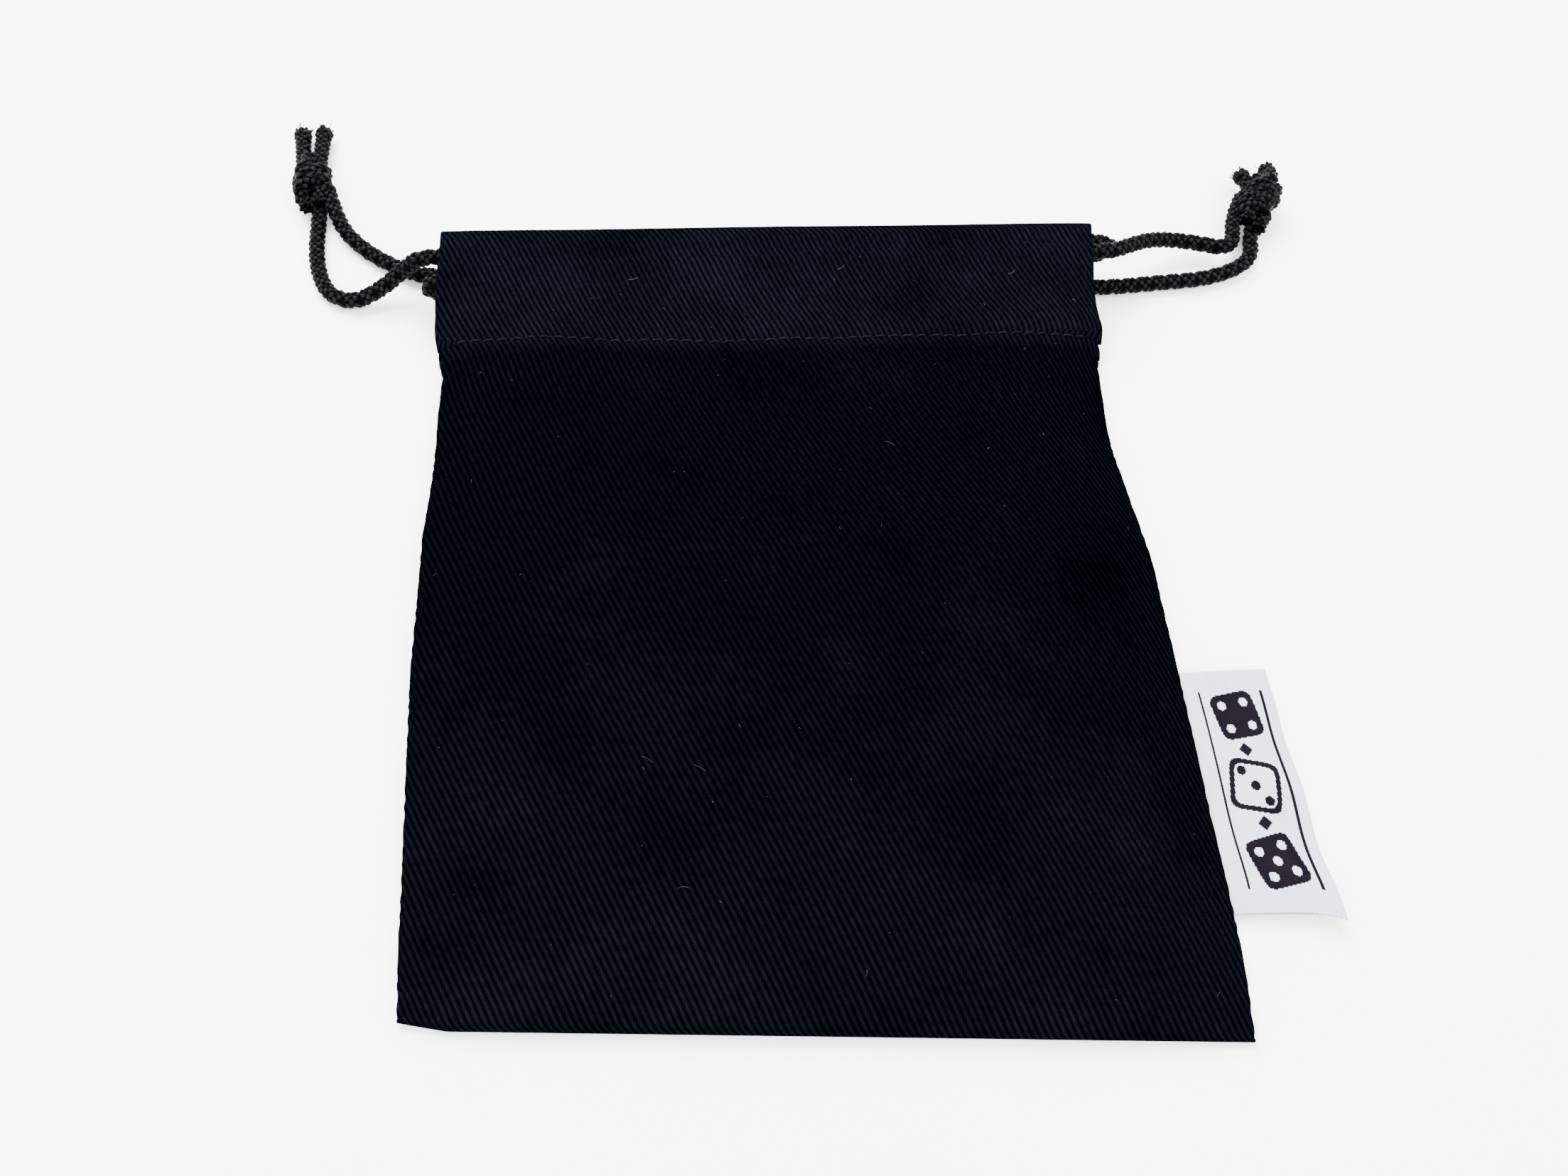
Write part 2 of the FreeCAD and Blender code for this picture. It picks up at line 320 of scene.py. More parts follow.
# Down the middle of the front cloth: cloth length, distance from the bottom edge, height, side height.
FRONT_LINE = [
    (0.0, 0.0, 0.95, 0.95), (1.6, 0.5, 2.40, 1.05), (4.0, 2.8, 3.35, 1.15),
    (8.0, 6.6, 4.55, 1.25), (14.0, 12.4, 6.00, 1.30), (22.0, 20.2, 7.35, 1.35),
    (32.0, 30.1, 8.60, 1.35), (44.0, 42.0, 9.40, 1.35), (58.0, 56.0, 9.75, 1.35),
    (72.0, 70.0, 9.70, 1.35), (84.0, 82.0, 9.30, 1.40), (94.0, 91.9, 8.75, 1.60),
    (99.5, 97.4, 8.40, 2.20), (101.0, 98.9, 8.30, 2.9), (102.5, 100.3, 8.50, 3.9),
    (106.0, 103.6, 9.45, 6.4), (110.0, 107.5, 10.45, 9.3), (114.0, 111.4, 11.05, 10.8),
    (118.0, 115.4, 11.30, 11.2), (121.0, 118.4, 11.15, 11.0), (123.2, 120.2, 10.50, 10.3),
    (124.7, 121.3, 9.30, 9.2), (125.8, 121.4, 8.15, 8.1), (127.0, 120.7, 7.50, 7.5),
    (131.0, 117.0, 7.25, 7.3), (137.0, 111.0, 7.15, 7.0), (142.0, 106.0, 7.10, 6.0),
    (147.0, 101.0, 7.05, 3.8), (149.0, 99.0, 7.05, 2.6),
]
HEM_LINE = 101.0          # cloth length at the hem's row of stitches
INNER_HEM_LINE = 146.6    # cloth length of the same row on the back cloth's turned-in layer
STITCHED_HALF = 49.0      # how far the row runs from the middle to each side
FRONT_LENGTH = FRONT_LINE[-1][0]
BACK_LINE = [
    (0.0, 0.0, 0.90, 0.90), (1.2, 0.4, 0.20, 0.80), (3.0, 2.0, 0.03, 0.80),
    (10.0, 9.0, 0.02, 0.85), (60.0, 59.0, 0.02, 0.90), (95.0, 94.0, 0.02, 0.90),
    (101.0, 100.0, 0.05, 0.95), (106.0, 105.0, 0.02, 0.5), (112.0, 111.0, 0.02, 0.05),
    (119.0, 118.0, 0.02, 0.05), (122.5, 121.4, 0.35, 0.35), (124.4, 122.7, 1.60, 1.6),
    (126.0, 121.9, 3.15, 3.1), (128.0, 120.1, 3.58, 3.6), (134.0, 114.1, 3.62, 3.6),
    (141.0, 107.1, 3.45, 3.3), (147.0, 101.3, 2.60, 2.0), (149.0, 99.3, 2.40, 1.6),
]

rng = random.Random(20)
WAVES = [(rng.uniform(0.03, 0.16), rng.uniform(0.02, 0.12), rng.uniform(0, 6.28), rng.uniform(0.5, 1.0))
         for _ in range(12)]


def undulation(x, t):
    """Soft handling marks in the cloth, about -1 to 1."""
    total = sum(k * np.sin(a * x + b * t + c) for a, b, c, k in WAVES)
    return total / 4.0


def outline(u, y):
    """Sideways place of a point u (-1 left seam to 1 right seam) at distance y from the bottom edge."""
    left = smooth_table(LEFT_EDGE, y)
    right = smooth_table(RIGHT_EDGE, y)
    return (left + right) / 2 + u * (right - left) / 2


def settle(x, y):
    """The bottom edge lies a little askew, lower at the right, and its left corner is blunt."""
    fade = 1 - smoothstep(5, 60, y)
    blunt = 0.9 * np.clip(1 - (x + 49.5) / 6.0, 0, 1) * (1 - smoothstep(0, 7, y))
    return y + fade * (-0.35 - 2.75 * x / 50.8) + blunt


def front_point(u, t):
    """A point of the front cloth's outer face, in millimetres; u and t are arrays."""
    y = smooth_table(FRONT_LINE, t, 1)
    mid = smooth_table(FRONT_LINE, t, 2)
    side = smooth_table(FRONT_LINE, t, 3)
    body = 1 - smoothstep(96, 110, t)
    power = 4.2 * body + 9.0 * (1 - body)
    shoulder = (1 - np.abs(u) ** power) ** (0.62 * body + 0.8 * (1 - body))
    z = side + (mid - side) * shoulder
    hem_bow = 2.6 * u * u * smoothstep(88, 101, t) * (1 - smoothstep(102, 117, t))
    hem_bow += 2.6 * u * u * smoothstep(134, 149, t)
    hem_bow = hem_bow - (0.75 - 0.35 * u) * smoothstep(103, 118, t) * (1 - smoothstep(132, 147, t))
    x = outline(u, y)
    inside = (1 - np.abs(u) ** 6)
    z = z + undulation(x, t) * 0.32 * inside * smoothstep(3, 14, t) * (1 - smoothstep(123, 125, t))
    dip = np.exp(-((t - HEM_LINE) / 1.1) ** 2)
    pucker = 0.5 + 0.5 * np.cos(2 * np.pi * x / STITCH_PITCH)
    z = z - dip * (0.22 + 0.10 * pucker) * inside
    ripple = np.sin(x * 0.62 + 1.3 * np.sin(x * 0.21)) * np.exp(-((t - 92) / 9.0) ** 2)
    z = z + 0.22 * ripple * inside
    for lane_left, lane_right in ((117.6, 121.4), (114.4, 116.4)):
        lane = lane_left + (lane_right - lane_left) * (u + 1) / 2
        z = z + 0.28 * np.exp(-((t - lane) / 1.1) ** 2)
    return x, settle(x, y + hem_bow), z


def back_point(u, t):
    y = smooth_table(BACK_LINE, t, 1)
    mid = smooth_table(BACK_LINE, t, 2)
    side = smooth_table(BACK_LINE, t, 3)
    z = mid + (side - mid) * np.abs(u) ** 26
    inside = (1 - np.abs(u) ** 6)
    lift = 0.5 + 0.5 * undulation(outline(u, y), t + 40)
    z = z + np.clip(lift, 0, 1) * 0.18 * inside * smoothstep(3, 10, t) * (1 - smoothstep(112, 120, t))
    x = outline(u, y)
    return x, settle(x, y), z


def seam_bumps(u, t, x, amount):
    """Small puckers where the side seam's stitches pull the cloth in."""
    near = np.abs(u) ** 60 * (1 - smoothstep(98, 104, t))
    wave = 0.5 + 0.5 * np.cos(2 * np.pi * t / 2.6 + 2.2 * np.sin(t * 0.31) + 1.4 * np.sin(t * 0.83))
    return x - np.sign(u) * near * amount * wave * (0.65 + 0.35 * np.sin(t * 0.47))


def spread(count):
    """Column places from 0 to 1, closer together toward the seam."""
    a = np.linspace(0, 1, count)
    return np.sin(a * np.pi / 2) ** 0.9 * 0.6 + a * 0.4


def cloth_half(name, point, length, sign, top_side, columns=96, rows=300):
    """One half of a cloth, from its middle to a side seam: a closed skin of two faces and their rims."""
    u = sign * spread(columns)
    t = np.linspace(0, length, rows)
    uu, tt = np.meshgrid(u, t)
    x, y, z = point(uu, tt)
    outer = np.stack([seam_bumps(uu, tt, x, 0.16), y, z], -1)
    along = np.gradient(outer, axis=0)
    normal = np.cross(np.gradient(outer, axis=1), along) * sign
    # Both halves take the middle column's normal from the surface on each side of it, so no line shows.
    near = np.full(rows, 0.004)
    wide = np.stack(point(near, t), -1) - np.stack(point(-near, t), -1)
    normal[:, 0] = np.cross(wide, along[:, 0])
    normal /= np.linalg.norm(normal, axis=-1, keepdims=True) + 1e-12
    if not top_side:
        normal = -normal
    inner = outer - normal * CLOTH
    shift = rows * columns
    outward = (sign > 0) == top_side
    faces = grid_faces(rows, columns, 0, not outward) + grid_faces(rows, columns, shift, outward)
    skin_faces = len(faces)
    loop = list(range(columns))
    loop += [r * columns + columns - 1 for r in range(1, rows)]
    loop += [(rows - 1) * columns + c for c in range(columns - 2, -1, -1)]
    loop += [r * columns for r in range(rows - 2, 0, -1)]
    for a, b in zip(loop, loop[1:] + loop[:1]):
        faces.append([b, a, a + shift, b + shift] if outward else [a, b, b + shift, a + shift])
    flat = np.stack([uu * HALF_W, tt], -1).reshape(-1, 2)
    verts = place(*np.concatenate([outer.reshape(-1, 3), inner.reshape(-1, 3)]).T)
    piece = make_piece(name, verts, faces, [TWILL], uv=np.concatenate([flat, flat]))
    mesh = piece.data
    facing = np.concatenate([normal.reshape(-1, 3), -normal.reshape(-1, 3)])
    corner = np.zeros(len(mesh.loops), np.int32)
    mesh.loops.foreach_get("vertex_index", corner)
    loop_normals = facing[corner]
    first_rim_loop = skin_faces * 4
    rim_normals = np.array([p.normal[:] for p in mesh.polygons[skin_faces:]])
    loop_normals[first_rim_loop:] = np.repeat(rim_normals, 4, axis=0)
    mesh.normals_split_custom_set(loop_normals.tolist())
    return piece


halves = {}
for side, sign in (("left", -1), ("right", 1)):
    halves["front_" + side] = cloth_half("front_cloth_" + side, front_point, FRONT_LENGTH, sign, True)
    halves["back_" + side] = cloth_half("back_cloth_" + side, back_point, BACK_LINE[-1][0], sign, False)


# ---------------------------------------------------------------- thread, seams and lint
def thin_tube(line, radius, around, start, flat=1.0):
    """Verts and faces of a thin thread along line (millimetres)."""
    tangent = np.gradient(line, axis=0)
    tangent /= np.linalg.norm(tangent, axis=1, keepdims=True) + 1e-12
    side = np.cross(tangent, [0.0, 0.0, 1.0])
    side /= np.linalg.norm(side, axis=1, keepdims=True) + 1e-12
    up_way = np.cross(side, tangent)
    angle = np.linspace(0, 2 * np.pi, around, endpoint=False)
    across = np.cos(angle)[None, :, None] * side[:, None]
    upward = flat * np.sin(angle)[None, :, None] * up_way[:, None]
    ring = radius * (across + upward)
    verts = (line[:, None] + ring).reshape(-1, 3)
    j = np.arange(around)
    k = (j + 1) % around
    i = np.arange(len(line) - 1)[:, None] * around
    quads = np.stack([i + j, i + k, i + k + around, i + j + around], -1).reshape(-1, 4) + start
    last = (len(line) - 1) * around
    return verts, quads.tolist() + [(start + j[::-1]).tolist(), (start + last + j).tolist()]


def many_threads(name, lines, material, around=6, flat=1.0):
    """One piece of many threads, each (line in millimetres, radius)."""
    verts, faces, total = [], [], 0
    for line, radius in lines:
        v, f = thin_tube(line, radius, around, total, flat)
        verts.append(v)
        faces += f
        total += len(v)
    return make_piece(name, place(*np.concatenate(verts).T), faces, [material])


def hem_stitches(point, sign, t0, lift, radius=0.17):
    """Lock-stitches along a hem, each sinking into the cloth at both ends."""
    lines = []
    count = int(STITCHED_HALF / STITCH_PITCH)
    for i in range(count):
        x = sign * (0.9 + i * STITCH_PITCH)
        q = np.linspace(-0.5, 0.5, 9)
        u = (x + q * STITCH_LONG) / HALF_W
        t = np.full(9, t0) + 0.16 * math.sin(0.37 * x + 1.0) + q * 0.10
        px, py, pz = point(u, t)
        arch = np.cos(np.pi * q) * 0.30 - 0.12
        lines.append((np.stack([px, py, pz + lift * arch], -1), radius))
    return lines


def lint(sign, count, seed):
    """Loose white fibres caught on the front cloth: mostly specks, and a few curled hairs."""
    pick = random.Random(seed)
    lines = []
    for _ in range(count):
        u = sign * pick.uniform(0.02, 0.94)
        t = pick.uniform(4.0, 119.0)
        long = pick.choice((0.15, 0.18, 0.22, 0.25, 0.3, 0.35, 0.45, 0.6, 0.9, 1.8))
        way = pick.uniform(0, 6.28)
        bend = pick.uniform(-1.6, 1.6)
        q = np.linspace(0, 1, 7)
        angle = way + bend * q
        du = np.cumsum(np.cos(angle)) * long / 7 / HALF_W
        dt = np.cumsum(np.sin(angle)) * long / 7
        px, py, pz = front_point(u + du, t + dt)
        height = 0.07 + pick.uniform(0.0, 0.16) * np.sin(np.pi * q)
        lines.append((np.stack([px, py, pz + height], -1), pick.uniform(0.016, 0.030)))
    return lines


def strip(name, along_point, steps, low, high, wide):
    """A turned-in seam, two cloths thick, between the outer and inner lines that along_point(s) gives."""
    s = np.linspace(0, 1, steps)
    out_x, out_y, in_x, in_y = along_point(s)
    ring = []
    for k, z in ((0.0, low), (0.0, high), (0.35, high + 0.05), (0.7, high + 0.02), (1.0, high), (1.0, low)):
        x = out_x + (in_x - out_x) * k
        y = out_y + (in_y - out_y) * k
        ring.append(np.stack([x, y, np.full(steps, z)], -1))
    verts = np.stack(ring, 1).reshape(-1, 3)
    n = len(ring)
    faces = []
    for r in range(steps - 1):
        for c in range(n):
            d = (c + 1) % n
            faces.append([r * n + c, r * n + d, (r + 1) * n + d, (r + 1) * n + c])
    faces.append(list(range(n))[::-1])
    faces.append([(steps - 1) * n + c for c in range(n)])
    across = np.tile(np.array([0.0, 0.8, 0.35 * wide, 0.7 * wide, wide, wide + 0.8]), steps)
    down = np.repeat(s * 100.0, n)
    return make_piece(name, place(*verts.T), faces, [TWILL], uv=np.stack([across, down], -1), smooth=False)


LINT_COUNT = 42           # fibres on each half of the front
trim = {}
for side, sign in (("left", -1), ("right", 1)):
    lines = hem_stitches(front_point, sign, HEM_LINE, 1.0)
    trim["front_hem_stitches_" + side] = many_threads("front_hem_stitches_" + side, lines, THREAD, flat=0.75)
    lines = hem_stitches(back_point, sign, HEM_LINE, -0.6)
    lines += hem_stitches(back_point, sign, INNER_HEM_LINE, 1.0)
    trim["back_hem_stitches_" + side] = many_threads("back_hem_stitches_" + side, lines, THREAD, flat=0.75)
    trim["lint_" + side] = many_threads("lint_" + side, lint(sign, LINT_COUNT, 5 + sign), LINT, around=5)

    def side_line(s, sign=sign):
        y = 11.0 + 93.0 * s
        x = outline(np.full_like(y, sign * 1.0), y)
        return x - sign * 0.75, settle(x, y), x - sign * 9.6, settle(x, y)

    seam = strip(side + "_turned_seam", side_line, 60, 0.52, 1.32, 8.8)
    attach(seam, side + "_side")
    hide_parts(side + "_seam_allowance")


def bottom_line(s):
    x = -44.5 + 89.0 * s
    return x, settle(x, np.full_like(x, 1.6)), x, settle(x, np.full_like(x, 7.4))


bottom_seam = strip("bottom_turned_seam", bottom_line, 60, 0.47, 1.37, 5.8)
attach(bottom_seam, "bag")
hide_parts("bottom_seam_allowance")

# ---------------------------------------------------------------- label
LABEL_Y0, LABEL_Y1 = 12.0, 45.2
LABEL_WIDE = 14.4
LABEL_TIP_X = 66.3        # the fold's place at the label's lower end


def motif_at(x, y):
    """The woven design in tape millimetres: three dice, two diamonds and two border lines."""
    dark = np.zeros(x.shape, bool)
    for cx, cy, half, degrees, solid, pips in (
        (8.1, 6.6, 3.3, 14, True, ((-1, -1), (1, 1), (0, 0), (1, -1), (-1, 1))),
        (7.9, 16.6, 3.5, -11, False, ((-1, 1), (0, 0), (1, -1))),
        (8.1, 26.6, 3.3, 9, True, ((-1, 1), (1, -1), (1, 1), (-1, -1))),
    ):
        a = math.radians(degrees)
        p = (x - cx) * math.cos(a) + (y - cy) * math.sin(a)
        q = -(x - cx) * math.sin(a) + (y - cy) * math.cos(a)
        reach = (np.abs(p / half) ** 6 + np.abs(q / half) ** 6) ** (1 / 6)
        spots = np.zeros(x.shape, bool)
        for i, j in pips:
            spots |= np.hypot(p - i * half * 0.52, q - j * half * 0.52) < half * 0.19
        if solid:
            dark |= (reach < 1) & ~spots
        else:
            dark |= ((reach < 1) & (reach > 0.80)) | spots
    for cy in (11.6, 21.6):
        dark |= np.abs(x - 8.0) + np.abs(y - cy) < 1.0
    for cx in (3.3, 12.7):
        dark |= (np.abs(x - cx) < 0.22) & (y > 3.0) & (y < 30.2)
    return dark


def label_piece():
    """A folded satin tape: upper layer out to the fold, lower layer back to the seam."""
    columns, rows = 2 * 96 + 1, 222
    p = np.linspace(0, 2, columns)
    s = np.linspace(0, LABEL_Y1 - LABEL_Y0, rows)
    pp, ss = np.meshgrid(p, s)
    a = np.where(pp <= 1, pp, 2 - pp)
    upper = np.where(pp <= 1, 1.0, -1.0)
    y = LABEL_Y0 + ss
    root_x = outline(np.ones_like(y), y) - 0.9
    tip_x = LABEL_TIP_X - 2.1 * (ss / (LABEL_Y1 - LABEL_Y0)) + 0.12 * np.sin(ss * 0.5)
    x = root_x + (tip_x - root_x) * a
    part = 0.10 + 0.30 * np.sin(np.pi * np.clip(a * 1.1, 0, 1)) * (1 - a**8)
    lift = 1.15 + 1.1 * a**2 * (1 - smoothstep(0, 9, ss)) + 0.45 * a * smoothstep(22, 33, ss)
    lift += 0.22 * np.sin(ss * 0.33 + 2.2 * a)
    z = lift + upper * part * np.sqrt(np.clip(1 - a**10, 0, 1))
    edge = 0.05 * np.sin(pp * 160.0) * ((ss < 0.01) | (ss > LABEL_Y1 - LABEL_Y0 - 0.01))
    sway = 0.7 * (1 - smoothstep(0, 14, ss)) * a**2 + 0.9 * (1 - smoothstep(0, 4, ss)) * a**8
    verts = place(x.ravel(), (y + edge - sway).ravel(), z.ravel())
    faces = grid_faces(rows, columns)
    row_mid = (s[:-1] + s[1:]) / 2
    col_mid = (p[:-1] + p[1:]) / 2
    cc, rr = np.meshgrid(col_mid, row_mid)
    dark = motif_at(cc * LABEL_WIDE, rr) & (cc < 1)
    uv = np.stack([pp.ravel() * LABEL_WIDE, ss.ravel()], -1)
    return make_piece("label_tape_loop", verts, faces, [TAPE, MOTIF], dark.ravel().astype(int), uv)


label = label_piece()
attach(label, "label")
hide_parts("woven_label", "label_motif")

# ---------------------------------------------------------------- cords
LEFT_ROUTE = [
    (-74.5, 136.0, 1.7), (-74.1, 130.2, ON_TABLE), (-73.9, 125.0, ON_TABLE), (-72.9, 119.4, ON_TABLE),
    (-70.6, 114.6, ON_TABLE), (-66.2, 113.0, 1.4), (-61.6, 115.0, 2.8), (-58.0, 116.5, 5.4),
    (-53.8, 115.6, Z_FRONT), (54.3, 119.0, Z_FRONT), (54.3, 119.0, Z_BACK), (-53.2, 116.8, Z_BACK),
    (-62.2, 121.0, ON_TABLE), (-68.7, 126.6, ON_TABLE), (-71.4, 131.3, 2.2), (-72.9, 136.0, 3.6),
]
RIGHT_ROUTE = [
    (80.2, 133.0, 3.0), (77.5, 128.4, 2.7), (76.1, 120.7, 3.1), (68.8, 123.0, 3.0), (61.8, 121.6, 5.0),
    (56.4, 117.6, 7.6), (51.6, 114.2, Z_FRONT), (-54.0, 112.0, Z_FRONT), (-54.0, 112.0, Z_BACK),
    (52.8, 114.0, Z_BACK), (62.0, 115.4, ON_TABLE), (72.6, 116.4, ON_TABLE), (79.8, 120.2, ON_TABLE),
    (80.3, 125.4, 1.5), (82.0, 129.8, 2.8),
]
LEFT_ENDS = [[(-77.2, 138.6, 2.6), (-78.3, 144.4, 2.0), (-79.3, 150.9, 1.5)],
             [(-75.0, 138.6, 3.1), (-75.2, 144.4, 2.5), (-75.6, 150.8, 1.9)]]
RIGHT_ENDS = [[(82.0, 132.4, 3.7), (81.8, 135.4, 3.4), (81.1, 138.3, 2.9)],
              [(84.0, 133.0, 2.9), (85.3, 136.6, 2.4), (87.0, 141.0, 1.6)]]
# Each knot: centre, direction, size factor, lean of its wraps, and its first strand's angle in degrees.
KNOTS = {"left": ((-75.6, 137.4, 3.0), (-0.15, 1.0, 0.0), 1.12, 0.5, 200),
         "right": ((82.6, 131.6, 3.5), (0.40, 1.0, 0.0), 1.32, 1.4, 150)}


def spline_points(points):
    """Points along the NURBS spline that has these control points, in metres."""
    curve = bpy.data.curves.new("route", "CURVE")
    curve.dimensions = "3D"
    curve.resolution_u = 32
    spline = curve.splines.new("NURBS")
    spline.points.add(len(points) - 1)
    for slot, p in zip(spline.points, points):
        slot.co = (*place(*p), 1.0)
    spline.order_u = 3
    spline.use_endpoint_u = True
    holder = bpy.data.objects.new("route", curve)
    bpy.context.scene.collection.objects.link(holder)
    mesh = bpy.data.meshes.new_from_object(holder)
    line = np.array([v.co[:] for v in mesh.vertices])
    bpy.data.objects.remove(holder)
    bpy.data.meshes.remove(mesh)
    bpy.data.curves.remove(curve)
    return line


def even(line, step):
    """The same line with points a step apart."""
    d = np.r_[0, np.cumsum(np.linalg.norm(np.diff(line, axis=0), axis=1))]
    count = max(int(d[-1] / step), 2)
    s = np.linspace(0, d[-1], count + 1)
    return np.stack([np.interp(s, d, line[:, k]) for k in range(3)], -1), s


def carried_frames(line):
    """A direction and two cross directions at each point, turning as little as they can."""
    tangent = np.gradient(line, axis=0)
    tangent /= np.linalg.norm(tangent, axis=1, keepdims=True)
    side = np.zeros_like(line)
    start = np.array([0, 0, 1.0]) if abs(tangent[0][2]) < 0.8 else np.array([1.0, 0, 0])
    side[0] = np.cross(tangent[0], start)
    for i in range(1, len(line)):
        side[i] = side[i - 1] - tangent[i] * np.dot(side[i - 1], tangent[i])
        side[i] /= np.linalg.norm(side[i])
    side[0] /= np.linalg.norm(side[0])
    return tangent, side, np.cross(tangent, side)


def tube_mesh(line, a, b, half_a, half_b, around, start):
    """Verts and faces of a closed tube whose section is an ellipse on directions a and b."""
    angle = np.linspace(0, 2 * np.pi, around, endpoint=False)
    ring = np.cos(angle)[None, :, None] * (a * half_a)[:, None, :]
    ring = ring + np.sin(angle)[None, :, None] * (b * half_b)[:, None, :]
    verts = (line[:, None, :] + ring).reshape(-1, 3)
    n = len(line)
    j = np.arange(around)
    k = (j + 1) % around
    i = np.arange(n - 1)[:, None] * around
    quads = np.stack([i + j, i + k, i + k + around, i + j + around], -1).reshape(-1, 4) + start
    faces = quads.tolist()
    faces.append((start + j[::-1]).tolist())
    faces.append((start + (n - 1) * around + j).tolist())
    return verts, faces


BRAID_TURN = 7.6e-3       # cord length in which a strand goes once round
CARRIERS = 6              # strands each way round
CORE_AROUND = 10
BRAID_DRAWN = 2.3         # the CORD_D at which the next sizes, in metres, hold as they stand
CORE_RADIUS = 0.82e-3
STRAND_OUT, STRAND_WEAVE = 0.90e-3, 0.19e-3
STRAND_HALF_WIDE, STRAND_HALF_THICK = 0.34e-3, 0.16e-3
STRAND_AROUND = 6


def braid(line, step=2.9e-4, fray=None):
    """A round braid of CARRIERS strands each way, over and under, on a core: (verts, faces, heights)."""
    line, s = even(line, step)
    _, side, other = carried_frames(line)
    widen = np.ones(len(s)) if fray is None else fray(s / s[-1])
    grow = widen * CORD_D / BRAID_DRAWN
    core = CORE_RADIUS * grow[:, None]
    # The core's height 0 gives it the darkest colour, painted shade under the strands.
    heights = np.zeros(len(line) * CORE_AROUND)
    parts = [(*tube_mesh(line, side, other, core, core, CORE_AROUND, 0), heights)]
    for way in (1, -1):
        for k in range(CARRIERS):
            turn = 2 * np.pi * (k / CARRIERS + way * s / BRAID_TURN)
            over = np.sin(CARRIERS * 2 * np.pi * s / BRAID_TURN + k * np.pi + way * np.pi / 2)
            radius = (STRAND_OUT + STRAND_WEAVE * over) * grow
            out = np.cos(turn)[:, None] * side + np.sin(turn)[:, None] * other
            centre = line + out * radius[:, None]
            along = np.gradient(centre, axis=0)
            along /= np.linalg.norm(along, axis=1, keepdims=True)
            flat = np.cross(along, out)
            half_a = STRAND_HALF_WIDE * grow[:, None]
            half_b = STRAND_HALF_THICK * grow[:, None]
            # A strand's height sets its painted highlight where it rides over and its painted shade where it
            # dips under.
            high = np.repeat(0.5 + 0.5 * over, STRAND_AROUND)
            parts.append((*tube_mesh(centre, flat, out, half_a, half_b, STRAND_AROUND, 0), high))
    return join_parts(parts)


def join_parts(parts):
    """Several (verts, faces, heights) into one."""
    verts, faces, heights, total = [], [], [], 0
    for v, f, h in parts:
        verts.append(v)
        faces += [[i + total for i in face] for face in f]
        heights.append(h)
        total += len(v)
    return np.concatenate(verts), faces, np.concatenate(heights)


def cord_piece(name, parts, slots=None):
    """One piece of braided cord; each point's height in the braid is kept for the material, which paints
    crowns lighter and hollows darker as highlight and shade.
    """
    verts, faces, heights = join_parts(parts)
    return make_piece(name, verts, faces, [CORD, TIP], slots, uv=np.stack([heights, heights], -1))


WRAP_STEPS, WRAP_ANGLE = 11, 45      # a strand's steps round the knot, and each step's degrees
HEART_STEPS, HEART_AROUND = 13, 16   # rings, and points in each, of the core inside the knot
HEART_REACH = 3.0                    # about the millimetres it runs each way from the knot's centre
HEART_RADIUS = 2.1e-3                # metres
BRISTLES, BRISTLE_STEPS, BRISTLE_AROUND = 46, 5, 5
TIP_POINTS, TIP_AROUND = 10, 20      # rings, and points in each, of a cord's melted end
TIP_RADIUS = 1.35e-3                 # metres


def knot_path(centre, along, size, lean, start):
    """One strand's way through the knot: in at the bottom, round the outside, and out of the top."""
    centre = np.array(centre)
    axis = np.array(along) / np.linalg.norm(along)
    up = np.array([0, 0, 1.0])
    wide = np.cross(axis, up)
    lane = [(-4.7, 0.9, start), (-3.3, 1.0, start)]
    for k in range(WRAP_STEPS):
        angle = start - WRAP_ANGLE * k
        lane.append((-2.2 + 0.44 * k, 1.85 - 0.12 * (k - 5) ** 2 / 25, angle))
    lane += [(3.3, 1.0, start - 460), (4.7, 1.0, start - 460)]
    pts = []
    for w, r, a in lane:
        c, h = math.cos(math.radians(a)), math.sin(math.radians(a))
        w = w + lean * c * (abs(w) < 3)
        pts.append(tuple(centre + size * (axis * w + wide * (r * 1.05 * c) + up * (r * 0.85 * h))))
    return pts


def flare(q):
    """How much a tail widens toward its cut end."""
    return 1 + 0.16 * smoothstep(0.70, 1.0, q)


def frayed(at, way, a, b, seed):
    """Short stiff fibres standing out of a cut cord end."""
    pick = random.Random(seed)
    way = way / np.linalg.norm(way)
    bristles = []
    for _ in range(BRISTLES):
        angle = pick.uniform(0, 2 * math.pi)
        out = a * math.cos(angle) + b * math.sin(angle)
        reach = pick.uniform(0.2, 1.25)
        root = at - way * 0.0010 + out * reach * 0.0010
        long = pick.uniform(0.0009, 0.0017)
        bend = out * pick.uniform(0.0, 0.0007) * reach
        q = np.linspace(0, 1, BRISTLE_STEPS)[:, None]
        line = root + way * long * q + bend * q**2
        _, c, d = carried_frames(line)
        thick = np.linspace(0.00011, 0.00005, BRISTLE_STEPS)[:, None]
        fibre = tube_mesh(line, c, d, thick, thick, BRISTLE_AROUND, 0)
        bristles.append((*fibre, np.ones(BRISTLE_STEPS * BRISTLE_AROUND)))
    return bristles


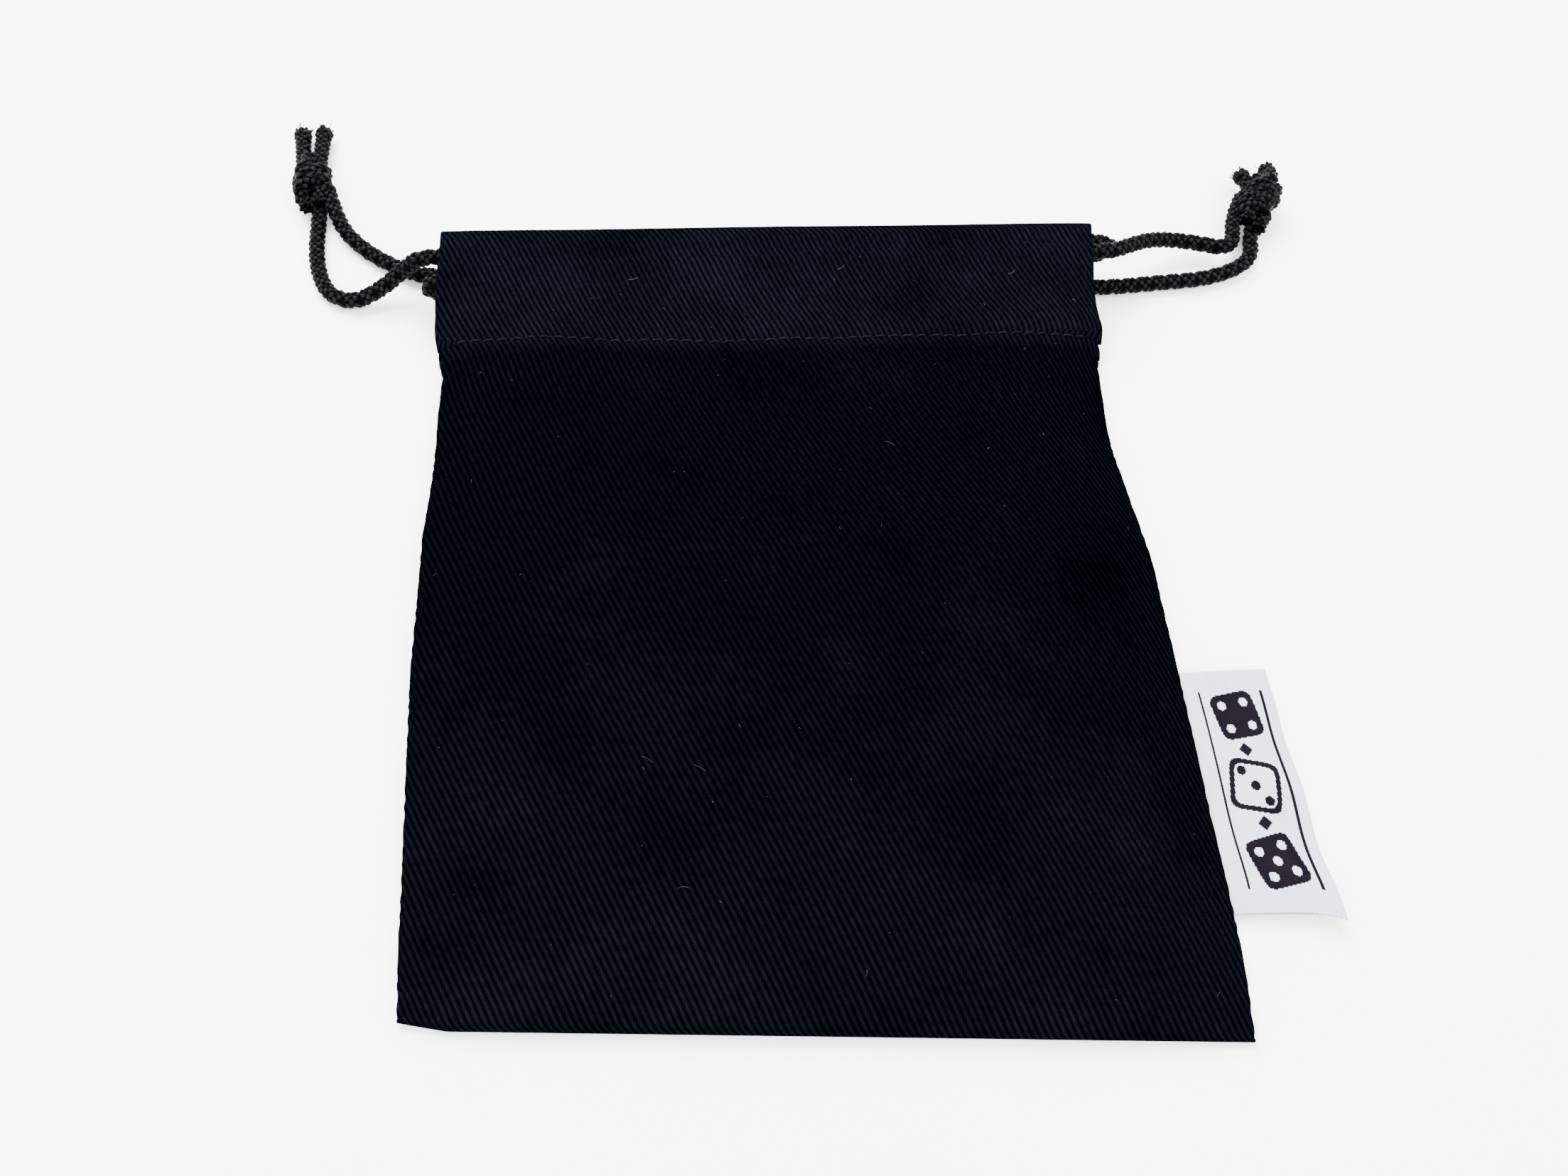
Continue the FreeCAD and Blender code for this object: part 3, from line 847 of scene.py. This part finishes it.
for side, route, ends in (("left", LEFT_ROUTE, LEFT_ENDS), ("right", RIGHT_ROUTE, RIGHT_ENDS)):
    line = spline_points(route)
    drawcord = cord_piece(side + "_braid", [braid(line)])
    centre, along, size, lean, start = KNOTS[side]
    wraps = []
    for half in (0, 180):
        wraps.append(braid(spline_points(knot_path(centre, along, size, lean, start + half)), step=3.2e-4))
    reach = np.linspace(-HEART_REACH, HEART_REACH, HEART_STEPS)
    heart = place(*np.array([np.array(centre) + np.array(along) * q for q in reach]).T)
    round_off = np.sqrt(1 - np.linspace(-0.97, 0.97, HEART_STEPS) ** 2)[:, None] * HEART_RADIUS * size
    _, a, b = carried_frames(heart)
    core = tube_mesh(heart, a, b, round_off, round_off, HEART_AROUND, 0)
    # The knot's inner core takes height 0, the darkest colour, as painted shade inside the knot.
    wraps.append((*core, np.zeros(HEART_STEPS * HEART_AROUND)))
    knot = cord_piece(side + "_overhand_knot", wraps)
    tail_parts = [braid(spline_points(pts), fray=flare) for pts in ends]
    braided = sum(len(part[1]) for part in tail_parts)
    for n, pts in enumerate(ends):
        end_line, _ = even(spline_points(pts), 1.5e-4)
        cap = end_line[-TIP_POINTS:] + (end_line[-1] - end_line[-2]) * 2.0
        _, a, b = carried_frames(cap)
        lump = 1 + 0.10 * np.sin(np.arange(len(cap)) * 1.7 + n)
        closing = np.sqrt(np.clip(1 - np.linspace(0, 0.97, len(cap)) ** 3, 0, 1))
        wide = (TIP_RADIUS * closing * lump)[:, None]
        melted = tube_mesh(cap, a, b, wide, wide * 0.92, TIP_AROUND, 0)
        tail_parts.append((*melted, np.ones(len(cap) * TIP_AROUND)))
        tail_parts += frayed(cap[-1], cap[-1] - cap[0], a[-1], b[-1], 11 + n)
    tip_faces = sum(len(part[1]) for part in tail_parts) - braided
    tails = cord_piece(side + "_cord_tails", tail_parts, [0] * braided + [1] * tip_faces)
    for piece, node in ((drawcord, "_drawcord"), (knot, "_knot"), (tails, "_cord_ends")):
        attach(piece, side + "_cord")
        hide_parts(side + node)

# ---------------------------------------------------------------- camera, light and floor
floor_mesh = bpy.data.meshes.new("floor")
floor_mesh.from_pydata([(-3, -3, 0), (3, -3, 0), (3, 3, 0), (-3, 3, 0)], [], [[0, 1, 2, 3]])
floor_mesh.materials.append(floor_material())
floor = bpy.data.objects.new("floor", floor_mesh)
floor.location.z = -0.00002
bpy.context.scene.collection.objects.link(floor)

LENS = 29.36112            # millimetres, on a sensor 36 wide
EYE = Vector((-0.0113, -0.0267 - MID_Y / 1000, 0.1581))
LOOK = Vector((0.056, 0.483, -0.874)).normalized()
RIGHT = Vector((0.998, -0.048, 0.038))
RIGHT = (RIGHT - LOOK * RIGHT.dot(LOOK)).normalized()
camera_data = bpy.data.cameras.new("camera")
camera_data.sensor_width = 36.0
camera_data.lens = LENS
camera_data.clip_start = 0.005
camera = bpy.data.objects.new("camera", camera_data)
up = RIGHT.cross(LOOK)
camera.matrix_world = Matrix((
    (RIGHT.x, up.x, -LOOK.x, EYE.x), (RIGHT.y, up.y, -LOOK.y, EYE.y),
    (RIGHT.z, up.z, -LOOK.z, EYE.z), (0, 0, 0, 1)))
bpy.context.scene.collection.objects.link(camera)
bpy.context.scene.camera = camera


def soft_light(name, at, size, power, target=(0, 0, 0)):
    data = bpy.data.lights.new(name, "AREA")
    data.shape = "DISK"
    data.size = size
    data.energy = power
    light = bpy.data.objects.new(name, data)
    light.location = at
    light.rotation_euler = (Vector(target) - Vector(at)).to_track_quat("-Z", "Y").to_euler()
    bpy.context.scene.collection.objects.link(light)


soft_light("key", (-0.25, 0.60, 0.80), 0.8, 60.0)
soft_light("fill", (0.5, -0.4, 0.9), 0.9, 25.0)
world = bpy.data.worlds.new("studio")
world.use_nodes = True
world.node_tree.nodes["Background"].inputs[0].default_value = (1.0, 1.0, 1.0, 1)
world.node_tree.nodes["Background"].inputs[1].default_value = 3.5
bpy.context.scene.world = world

# ---------------------------------------------------------------- fix the cloths and trim in place, hide the CAD parts they replace, dress the rest
for side in ("left", "right"):
    ends = (-0.052, 0, 0) if side == "left" else (0.052, 0, 0)
    for layer in ("front", "back"):
        piece = halves[layer + "_" + side]
        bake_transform(piece)
        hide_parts(layer + "_panel", layer + "_casing")
    for name, node in (
        ("front_hem_stitches_", "front_casing_stitches"), ("back_hem_stitches_", "back_casing_stitches"),
        ("lint_", None),
    ):
        piece = trim[name + side]
        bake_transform(piece)
        if node:
            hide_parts(node)

for name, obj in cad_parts.items():
    inside = name.endswith("allowance")
    sewn = name.endswith("stitches") or name.endswith("overlock")
    if inside or sewn:
        obj.data.materials.clear()
        obj.data.materials.append(TWILL_CAD if inside else THREAD)
